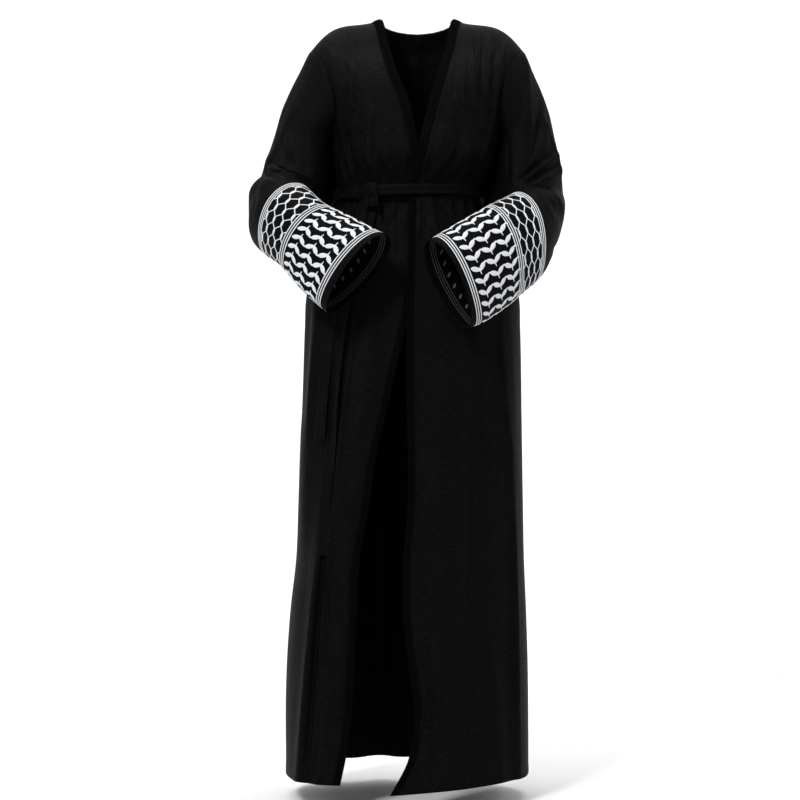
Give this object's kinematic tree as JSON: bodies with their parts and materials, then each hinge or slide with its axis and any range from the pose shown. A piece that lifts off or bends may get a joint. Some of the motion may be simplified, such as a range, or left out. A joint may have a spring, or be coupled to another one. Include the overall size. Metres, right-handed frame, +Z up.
{
  "type": "open-front abaya",
  "caption": "Long open-front abaya in its worn shape, with a V neck, brush-trimmed front edges, a tie belt and wide embroidered sleeves.",
  "frame": {"origin": "middle of the neck opening at the height of the shoulder line, where the garment rests on the shoulders of the figure that carries it", "axes": "+Z up, the open front faces -Y, the garment's left side is +X"},
  "size_m": [0.5981, 0.4387, 1.4477],
  "materials": {
    "black_crepe": "matt crepe",
    "black_brush_trim": "short brushed pile"
  },
  "bodies": {
    "root": {"back_panel": "black_crepe", "front_panel_left": "black_crepe", "front_panel_right": "black_crepe", "sleeve_left": "black_crepe", "sleeve_right": "black_crepe", "brush_trim_left": "black_brush_trim", "brush_trim_right": "black_brush_trim", "brush_trim_neck": "black_brush_trim", "belt_band": "black_crepe", "belt_tie": "black_crepe", "belt_tail_short": "black_crepe", "belt_tail_long": "black_crepe"}
  },
  "joints": []
}
